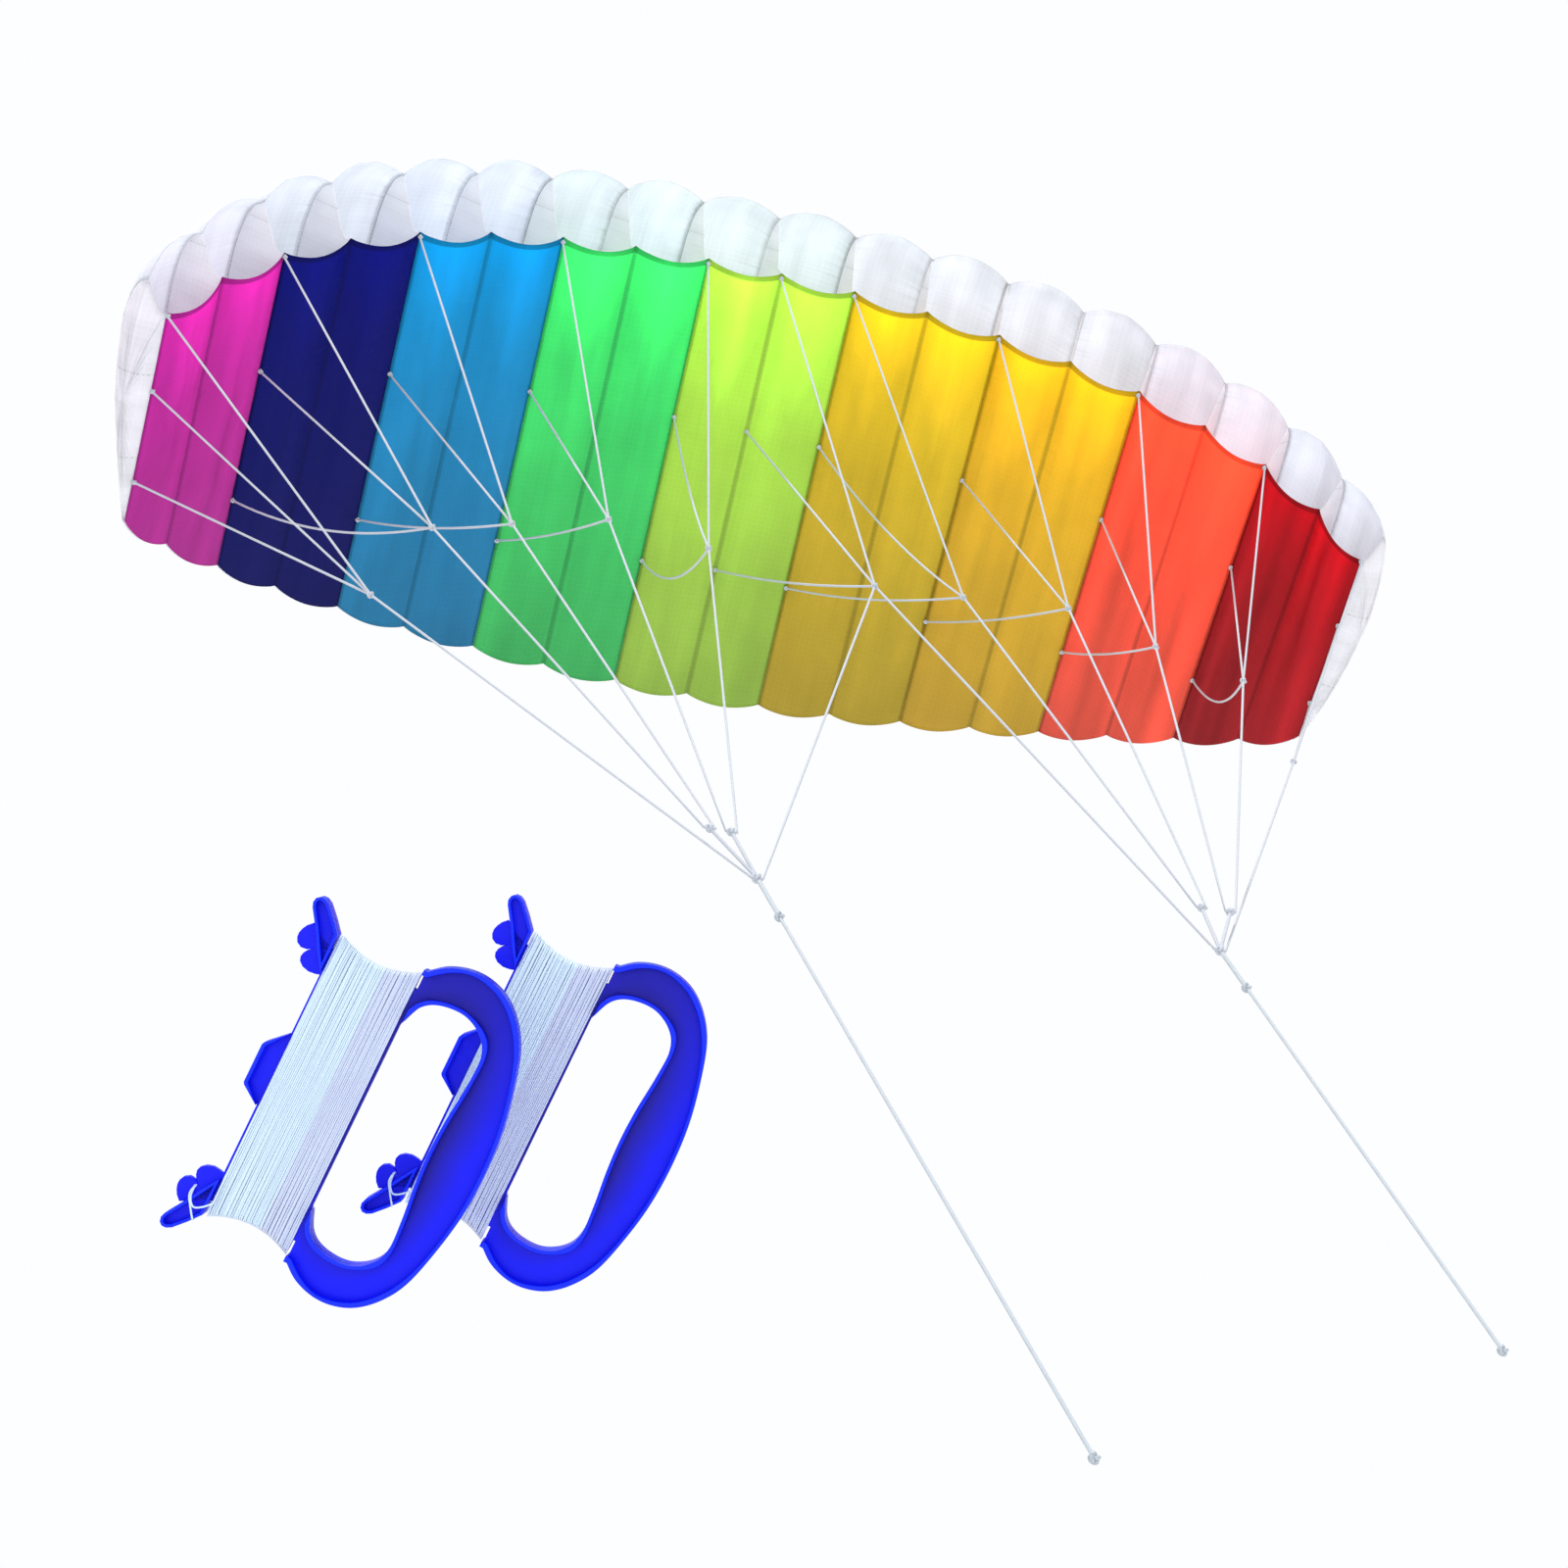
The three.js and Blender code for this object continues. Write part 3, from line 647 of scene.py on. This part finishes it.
def braidedCord(name, colour, pitch):
    f = Finish(name, colour)
    spot = f.node("TexCoord", output=3)
    x, y, z = f.parted(spot)
    twist = ((z / pitch + (x + y) / pitch) * 6.283).wave() * (((z - x - y) / pitch) * 6.283).wave()
    fuzz = f.noise(spot, 900.0)
    tone = f.mixed((twist * 0.25 + fuzz * 0.5).kept(), rgba(dimmed(colour, 0.72)), rgba(colour))
    normal = f.bump(twist + fuzz * 0.5, 0.5, 0.0003)
    body = f.node("BsdfPrincipled", Base_Color=tone, Roughness=0.62, Normal=normal)
    body.link.node.inputs["Sheen Weight"].default_value = 0.3
    return f.done(body)


bridleCord = braidedCord("bridleBraid", (0.60, 0.64, 0.72), 0.0016)
leadCord = braidedCord("leadBraid", (0.52, 0.58, 0.64), 0.0022)


def curvePiece(name, lines, thickness, material, asMesh=True):
    data = bpy.data.curves.new(name, "CURVE")
    data.dimensions = "3D"
    data.bevel_depth = thickness / 2
    data.bevel_resolution = 2
    data.use_fill_caps = True
    for points in lines:
        spline = data.splines.new("POLY")
        spline.points.add(len(points) - 1)
        for spot, place in zip(spline.points, points):
            spot.co = (*place, 1)
    data.materials.append(material)
    piece = bpy.data.objects.new(name, data)
    bpy.context.scene.collection.objects.link(piece)
    if not asMesh:
        return piece
    graph = bpy.context.evaluated_depsgraph_get()
    mesh = bpy.data.meshes.new_from_object(piece.evaluated_get(graph))
    mesh.shade_smooth()
    bpy.data.objects.remove(piece)
    bpy.data.curves.remove(data)
    piece = bpy.data.objects.new(name, mesh)
    bpy.context.scene.collection.objects.link(piece)
    return piece


def knotLine(place, size, way):
    # the path of a small overhand knot about a point, tied in a cord that runs along way
    axis = Vector(way).normalized()
    side = axis.orthogonal().normalized()
    other = axis.cross(side)
    points = []
    for k in range(37):
        a = 2 * math.pi * k / 36
        r = size * (0.34 + 0.16 * math.cos(3 * a))
        points.append(
            Vector(place) + side * r * math.cos(2 * a) + other * r * math.sin(2 * a)
            + axis * size * 0.42 * math.sin(3 * a)
        )
    return points


def straight(a, b, steps=6):
    a, b = Vector(a), Vector(b)
    return [a.lerp(b, k / steps) for k in range(steps + 1)]


def slack(a, b, sag, steps=22):
    a, b = Vector(a), Vector(b)
    way = Vector(bridle["sagWay"])
    return [a.lerp(b, k / steps) + way * (4 * sag * (k / steps) * (1 - k / steps)) for k in range(steps + 1)]


def sided(place, side):
    return Vector((side * place[0], place[1], place[2]))


def legTop(index, share):
    lip, length, back, up, across = station(index)
    return lip + back * (share * length) - up * bridle["legTopDrop"]


def bridlePiece(index):
    side = -1 if index < half else 1
    fromTip = index if side < 0 else canopy["cells"] - index
    knot = Vector(bridle["centreKnot"]) if index == half else sided(bridle["knots"][fromTip], side)
    outward = abs(index - half) / half
    rear = bridle["rearShare"] + (bridle["rearTipShare"] - bridle["rearShare"]) * outward
    tops = [legTop(index, s) for s in (bridle["frontShare"], bridle["middleShare"], rear)]
    slackMiddle = abs(index - half) == 1
    lines = [
        straight(tops[0], knot),
        slack(tops[1], knot, bridle["middleSlack"]) if slackMiddle else straight(tops[1], knot),
        slack(tops[2], knot, bridle["rearSlack"][index]),
        knotLine(knot, bridle["ribKnot"], (0, 0, 1)),
    ]
    up = station(index)[3]
    lines += [knotLine(top - up * bridle["seamKnotDrop"], bridle["seamKnot"], up) for top in tops]
    for end, joinKnot in bridleEnds(index, fromTip, side):
        lines.append(straight(knot, end) + [joinKnot])
    piece = curvePiece(f"bridleRib{index}", lines, bridle["thickness"], bridleCord)
    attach(piece, "canopy")
    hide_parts(f"bridle_rib_{index}")


def bridleEnds(index, fromTip, side):
    def beside(place, shift, toSide):
        tied = sided(place, toSide)
        return tied + Vector((toSide * shift, 0, 0)), tied

    if index == half:
        return [beside(bridle["tow"], -bridle["hitch"], s) for s in (-1, 1)]
    if fromTip == 0:
        return [beside(bridle["tow"], bridle["hitch"], side)]
    join = bridle["outerJoin"] if fromTip < 5 else bridle["innerJoin"]
    return [beside(join, bridle["hitch"] * (1 if fromTip in (2, 6) else -1), side)]


def towPieces(sideName):
    side = -1 if sideName == "left" else 1
    tow = sided(bridle["tow"], side)
    joins = [sided(bridle[k], side) for k in ("outerJoin", "innerJoin")]
    lines = [straight(j, tow) for j in joins]
    lines += [knotLine(j, bridle["towKnot"] * 0.8, j - tow) for j in joins]
    lines += [knotLine(tow, bridle["towKnot"], (0, 0, 1))]
    piece = curvePiece(f"towBridle{sideName.title()}", lines, bridle["towThickness"], bridleCord)
    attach(piece, "canopy")
    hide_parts(f"tow_bridle_{sideName}")


def leadPieces(sideName):
    side = -1 if sideName == "left" else 1
    tow = sided(bridle["tow"], side)
    lean = math.radians(lead["lean"])
    down = Vector((-side * math.sin(lean), 0, -math.cos(lean)))
    loopFoot = tow + down * lead["loop"]
    foot = tow + down * lead[sideName]
    title = sideName.title()
    loopTop = tow + down * lead["loopStart"]
    loop = curvePiece(
        f"leadLoop{title}", [straight(loopTop, loopFoot, 8)], lead["loopThickness"], leadCord, asMesh=False
    )
    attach(loop, f"lead_loop_{sideName}")
    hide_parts(f"lead_loop_{sideName}")
    knot = curvePiece(
        f"leadLoopKnot{title}", [knotLine(loopFoot, lead["loopKnotSize"], down)], lead["thickness"], leadCord
    )
    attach(knot, f"lead_loop_{sideName}")
    lineTop = loopFoot + down * lead["lineStart"]
    line = curvePiece(
        f"leadLine{title}", [straight(lineTop, foot - down * lead["endKnot"] * 0.6, 24)],
        lead["thickness"], leadCord, asMesh=False,
    )
    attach(line, f"lead_line_{sideName}")
    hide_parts(f"lead_line_{sideName}")
    end = foot - down * lead["endKnot"] * 0.5
    endKnot = curvePiece(
        f"leadEndKnot{title}", [knotLine(end, lead["endKnotSize"], down)], lead["thickness"], leadCord
    )
    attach(endKnot, f"lead_line_{sideName}")
    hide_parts(f"lead_end_knot_{sideName}")


for sideName in ("left", "right"):
    leadPieces(sideName)
    towPieces(sideName)
for index in (0, 2, 4, 6, 8, 9, 10, 12, 14, 16, 18):
    bridlePiece(index)
print("cords made")

makeSkins()
print("skins made")
makeRibs()
print("ribs and caps made")

# Winder handles, drawn flat with the grip on the right

winder = {
    "azimuth": -42.0,
    "elevation": -62.0,
    "roll": -54.8,
    "left": (-0.6213, -0.1965, -1.7457),
    "right": (-0.5368, -0.2001, -1.7236),
    "thickness": 12.0,
    "web": 4.0,
    "rim": 1.6,
    "coreX": 19.2,
    "coreY": 57.0,
    "gripReach": 77.0,
    "gripHigh": 73.4,
    "holeReach": 52.5,
    "holeHigh": 56,
    "windingHalf": 18.4,
    "windingDepth": 10.6,
    "windingEnd": 60.0,
    "hornRise": 5.0,
    "strand": 0.8,
    "layers": 2,
    "turnSteps": 14,
    "turnWander": 0.35,
    "endSquareness": 0.35,
    "faceSquareness": 0.6,
    "endMargin": 1.6,
    "thinFrom": 3.5,  # the winding thins towards the grip from here
    "thinning": 0.26,
}


def mirroredUp(points):
    return points + [(x, -y) for x, y in reversed(points[:-1])]


def smoothLine(points, count):
    return [tuple(rope([(x, y, 0) for x, y in points], k / count)[0][:2]) for k in range(count + 1)]


def gripEdge(inset=0.0, count=90):
    r = winder["gripReach"] - inset
    high = winder["gripHigh"] - inset
    c = winder["coreX"] + inset
    return smoothLine(mirroredUp([
        (c, 65 - inset), (c + 7, high - 3), (35, high), (r - 33, high), (r - 24, high - 3.2),
        (r - 16, high - 10), (r - 9.5, high - 20), (r - 5, 39), (r - 1.2, 20), (r, 0),
    ]), count)


def holeEdge(outset=0.0, count=80):
    r = winder["holeReach"] + outset
    high = winder["holeHigh"] + outset
    c = winder["coreX"]
    return smoothLine(mirroredUp([
        (c - outset, high - 15), (c + 4.5 - outset * 0.8, high - 5), (31 - outset * 0.4, high - 0.5),
        (42, high), (r - 1.5, high - 5), (r + 2.5, high - 13), (r + 2.2, 30), (r + 0.6, 14), (r, 0),
    ]), count)


hornEdge = [
    (-19.2, 47), (-24, 54), (-28, 61), (-33.3, 69), (-34, 71), (-33.6, 73), (-32.2, 74.2), (-30.2, 74.2),
    (-28, 73), (-23.4, 68.2), (-19.2, 63.2),
]
lobeEdge = [
    (-18.6, 45.2), (-21, 44.5), (-24, 44.2), (-27, 45), (-28.9, 46.6), (-29.5, 48.4), (-29.1, 50.3),
    (-28, 52), (-26.9, 53), (-28.4, 52.1), (-31, 51.8), (-33.2, 53), (-34.2, 55), (-34.3, 57),
    (-33.7, 59), (-32.6, 61), (-30.6, 63), (-18.6, 57),
]
tabEdge = [(-19.2, -13.5), (-27, -8), (-27.6, -7), (-27.6, 10), (-27, 11.2), (-19.2, 18.6)]


def flipped(points):
    return [(x, -y) for x, y in reversed(points)]


def movedIn(points, width):
    # the same clockwise outline moved in by a width on every edge
    moved = []
    for k, spot in enumerate(points):
        before = (Vector(spot) - Vector(points[k - 1])).normalized()
        after = (Vector(points[(k + 1) % len(points)]) - Vector(spot)).normalized()
        one, other = Vector((before.y, -before.x)), Vector((after.y, -after.x))
        way = (one + other).normalized()
        moved.append(tuple(Vector(spot) + way * (width / max(0.4, way.dot(other)))))
    return moved


def plasticFinish():
    f = Finish("bluePlastic", (0.01, 0.02, 0.8))
    spot = f.node("TexCoord", output=3)
    grain = f.noise(spot, 1600.0, 2.0)
    cloud = f.noise(spot, 25.0)
    scuff = f.noise(spot, 190.0, 4.0)
    # painted light and shade on the web floor: darker beside the hole and towards the top of the drawn
    # handle, lighter out towards the grip
    x, y, z = f.parted(f.node("Attribute", {"attribute_name": "flat"}, 1))
    aside = (x - 0.036) / 0.034
    along = (y + 0.008) / 0.060
    reach = (aside * aside + along * along).maths("SQRT") - y.maths("MAXIMUM", 0.0) * 9
    paintedWebLight = ((reach - 0.60) * 2.6).kept()
    # painted light: the raised rims are lighter and more cyan than the recessed web floor
    raised = ((z.size() - 0.0044) * 900).kept()
    ground = f.mixed(paintedWebLight, rgba((0.007, 0.003, 0.26)), rgba((0.0006, 0.004, 0.80)))
    ground = f.mixed((cloud * 0.35).kept(), ground, rgba((0.004, 0.006, 0.48)))
    tone = f.mixed(raised, ground, rgba((0.0008, 0.020, 0.90)))
    rough = (scuff * 0.25 + 0.30).kept()
    normal = f.bump(grain * 0.6 + scuff * 0.6, 0.12, 0.0004)
    body = f.node("BsdfPrincipled", Base_Color=tone, Roughness=rough, Normal=normal)
    body.link.node.inputs["IOR"].default_value = 1.49
    body.link.node.inputs["Specular IOR Level"].default_value = 0.2
    return f.done(body)


def woundFinish():
    f = Finish("woundLine", (0.9, 0.95, 0.98))
    spot = f.node("TexCoord", output=3)
    fuzz = f.noise(spot, 1500.0)
    cloud = f.noise(spot, 70.0)
    x, y, z = f.parted(f.node("Attribute", {"attribute_name": "flat"}, 1))
    # painted shade: the winding is darker and bluer past 3.5 mm across, where it thins and slopes down
    # towards the grip
    paintedSlopeShade = ((x - 0.0035) * 700).kept()
    cool = f.mixed(paintedSlopeShade, rgba((0.60, 0.76, 0.90)), rgba((0.52, 0.56, 0.77)))
    cool = f.mixed((cloud * 0.4).kept(), cool, rgba((0.70, 0.82, 0.92)))
    strands = f.node("TexNoise", Vector=f.node("CombineXYZ", X=x * 1400, Y=y * 10, Z=z * 20), Scale=1.0)
    tone = f.mixed(((strands - 0.35) * 1.6).kept() * 0.55, cool, rgba((0.34, 0.42, 0.60)))
    tone = f.mixed((fuzz * 0.3).kept(), tone, rgba((0.40, 0.48, 0.62)))
    normal = f.bump(fuzz, 0.4, 0.0002)
    body = f.node("BsdfPrincipled", Base_Color=tone, Roughness=0.5, Normal=normal)
    body.link.node.inputs["Sheen Weight"].default_value = 0.2
    return f.done(body)


bluePlastic = plasticFinish()
woundLine = woundFinish()


def markFlat(mesh, matrix):
    # keeps each vertex's place on the flat winder, which the painted light and shade of the plastic and of
    # the wound line read
    back = matrix.inverted()
    layer = mesh.attributes.new("flat", "FLOAT_VECTOR", "POINT")
    for vertex, spot in zip(mesh.vertices, layer.data):
        spot.vector = back @ vertex.co


def flatCurve(name, outlines, depth, bevel, material, matrix):
    # closed outlines filled, given thickness and rounded edges, and laid on the winder
    data = bpy.data.curves.new(name, "CURVE")
    data.dimensions = "2D"
    data.fill_mode = "BOTH"
    data.extrude = (depth / 2 - bevel) / 1000
    data.bevel_depth = bevel / 1000
    data.bevel_resolution = 3
    data.offset = -bevel / 1000
    for points in outlines:
        spline = data.splines.new("POLY")
        spline.use_cyclic_u = True
        spline.points.add(len(points) - 1)
        for spot, (x, y) in zip(spline.points, points):
            spot.co = (x / 1000, y / 1000, 0, 1)
    piece = bpy.data.objects.new(name, data)
    bpy.context.scene.collection.objects.link(piece)
    graph = bpy.context.evaluated_depsgraph_get()
    mesh = bpy.data.meshes.new_from_object(piece.evaluated_get(graph))
    bpy.data.objects.remove(piece)
    bpy.data.curves.remove(data)
    mesh.transform(matrix)
    mesh.materials.clear()
    mesh.materials.append(material)
    made = bpy.data.objects.new(name, mesh)
    bpy.context.scene.collection.objects.link(made)
    return made


def joinedPiece(name, parts):
    shape = bmesh.new()
    for part in parts:
        shape.from_mesh(part.data)
    material = parts[0].data.materials[0]
    for part in parts:
        mesh = part.data
        bpy.data.objects.remove(part)
        bpy.data.meshes.remove(mesh)
    bmesh.ops.remove_doubles(shape, verts=shape.verts, dist=1e-6)
    bmesh.ops.recalc_face_normals(shape, faces=shape.faces)
    piece = newPiece(name, shape, material)
    piece.data.set_sharp_from_angle(angle=math.radians(35))
    return piece


def winderHandle(sideName):
    matrix = placedMatrix(winder["azimuth"], winder["elevation"], winder["roll"], winder[sideName])
    c, y = winder["coreX"], winder["coreY"]
    horn, lobe = hornEdge + [(-c, y)], lobeEdge
    outline = tabEdge + horn + [(c, y)] + gripEdge() + [(c, -y)] + flipped(horn)
    rim, deep, web = winder["rim"], winder["thickness"], winder["web"]
    hole = [p for p in holeEdge(count=120) if p[0] > c + 0.3]
    around = [p for p in holeEdge(rim, count=120) if p[0] > c + 0.3]
    grip = [p for p in gripEdge(count=120) if p[0] > c + 0.3]
    within = [p for p in gripEdge(rim, count=120) if p[0] > c + 0.3]
    grip = [(c - 0.6, grip[0][1])] + grip + [(c - 0.6, grip[-1][1])]
    within = [(c - 0.6, within[0][1])] + within + [(c - 0.6, within[-1][1])]
    parts = [
        flatCurve("web", [outline, holeEdge()], web, 0.3, bluePlastic, matrix),
        flatCurve("outerRim", [grip + within[::-1]], deep, 0.55, bluePlastic, matrix),
        flatCurve("innerRim", [around + hole[::-1]], deep, 0.55, bluePlastic, matrix),
        flatCurve("tabRim", [tabEdge + movedIn(tabEdge, rim)[-2:0:-1]], deep, 0.45, bluePlastic, matrix),
    ]
    for turned in (hornEdge, flipped(hornEdge)):
        rims = [turned, movedIn(turned, rim * 0.8)]
        parts.append(flatCurve("hornRim", rims, deep, 0.4, bluePlastic, matrix))
    for turned in (lobe, flipped(lobe)):
        parts.append(flatCurve("lobe", [turned], web, 0.5, bluePlastic, matrix))
    piece = joinedPiece(f"winderHandle{sideName.title()}", parts)
    markFlat(piece.data, matrix)
    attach(piece, f"handle_{sideName}")
    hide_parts(f"handle_{sideName}")


def signedPower(value, by):
    return math.copysign(abs(value) ** by, value)


def windingPath(sideName):
    # the wound line turn by turn, in layers, along the faces and over the two ends of the core
    matrix = placedMatrix(winder["azimuth"], winder["elevation"], winder["roll"], winder[sideName])
    wander = random.Random(7 if sideName == "left" else 11)
    points = []
    strand, steps = winder["strand"], winder["turnSteps"]
    reach = winder["windingHalf"] - strand * 0.6
    turnsEach = int(2 * reach / strand)
    for layer in range(winder["layers"]):
        deep = winder["windingDepth"] / 2 - strand * (winder["layers"] - layer - 0.5) - 0.2
        way = 1 if layer % 2 == 0 else -1
        for turn in range(turnsEach):
            share = turn / turnsEach if way > 0 else 1 - turn / turnsEach
            jitter = wander.uniform(-winder["turnWander"], winder["turnWander"])
            for k in range(steps):
                x = -reach + 2 * reach * (share + way * k / steps / turnsEach)
                rise = winder["hornRise"] * (x / winder["windingHalf"]) ** 2
                end = winder["windingEnd"] + rise - winder["endMargin"] + layer * strand * 0.8
                a = 2 * math.pi * k / steps
                y = signedPower(math.cos(a), winder["endSquareness"]) * end
                thinned = max(0, x - winder["thinFrom"]) / (reach - winder["thinFrom"])
                fall = 0.05 + winder["thinning"] * thinned
                z = signedPower(math.sin(a), winder["faceSquareness"]) * deep * (1 - fall)
                points.append(Vector((x + jitter * math.sin(2 * a), y, z + jitter * 0.2)))
    # the tail climbs over the lower horn and is caught twice in the notch between its lobes
    tail = [
        (-17.2, -57, 5.4), (-20.5, -60, 6.6), (-23.8, -61.4, 6.9), (-26.4, -58.6, 6.5), (-27.2, -55.2, 3.4),
        (-26.7, -53, 0), (-25.6, -55, -3.4), (-24, -60, -6.8), (-22.6, -64.8, -6.6), (-22.4, -67.4, 0),
        (-22.2, -65.8, 6.6), (-25.0, -61.6, 7.0), (-27.4, -57.8, 6.2), (-27.6, -55, 2.8),
        (-26.9, -52.9, -0.6), (-23.5, -55.5, -4.0), (-20.4, -57.5, -5.4), (-17.6, -56, -5.6),
    ]
    tail = [Vector(p) for p in tail]
    points += [rope(tail, k / 90)[0] for k in range(91)]
    return [matrix @ (p / 1000) for p in points]


def winderLine(sideName):
    title = sideName.title()
    path = windingPath(sideName)
    piece = curvePiece(f"windingLine{title}", [path], winder["strand"] / 1000, woundLine)
    matrix = placedMatrix(winder["azimuth"], winder["elevation"], winder["roll"], winder[sideName])
    markFlat(piece.data, matrix)
    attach(piece, f"handle_{sideName}")
    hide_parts(f"winding_{sideName}")
    length = sum((a - b).length for a, b in zip(path, path[1:]))
    print("wound length", sideName, round(length, 2))


for sideName in ("left", "right"):
    winderHandle(sideName)
    winderLine(sideName)
print("winders made")

# Studio

studio = {"floor": -3.3, "sun": 2.2, "world": 1.0}


def makeStudio():
    bpy.context.scene.view_settings.view_transform = "Standard"
    world = bpy.data.worlds.new("paleSky")
    world.use_nodes = True
    world.node_tree.nodes["Background"].inputs[0].default_value = (0.985, 0.99, 1.0, 1)
    world.node_tree.nodes["Background"].inputs[1].default_value = studio["world"]
    bpy.context.scene.world = world
    shape = bmesh.new()
    bmesh.ops.create_grid(shape, x_segments=2, y_segments=2, size=12)
    for v in shape.verts:
        v.co.z = studio["floor"]
    f = Finish("paleFloor", (0.9, 0.9, 0.9))
    matte = f.done(f.node("BsdfPrincipled", Base_Color=(0.86, 0.87, 0.88, 1), Roughness=0.8))
    newPiece("floor", shape, matte)
    for name, energy, size, place in (
        ("keyAbove", 17, 2.4, (-0.6, -2.2, 1.9)),
        ("fillBelow", 6, 2.5, (-2.2, -1.8, -2.4)),
        ("sideGlow", 5, 1.5, (2.2, 0.6, -1.0)),
    ):
        data = bpy.data.lights.new(name, "AREA")
        data.energy, data.size = energy, size
        lamp = bpy.data.objects.new(name, data)
        bpy.context.scene.collection.objects.link(lamp)
        lamp.location = place
        lamp.rotation_euler = (Vector((0, 0, -0.3)) - Vector(place)).to_track_quat("-Z", "Y").to_euler()
    data = bpy.data.lights.new("sun", "SUN")
    data.energy, data.angle = studio["sun"], math.radians(6)
    sun = bpy.data.objects.new("sun", data)
    bpy.context.scene.collection.objects.link(sun)
    sun.rotation_euler = (Vector((0.25, 0.75, -1.0))).to_track_quat("-Z", "Y").to_euler()


makeStudio()

bpy.context.view_layer.update()
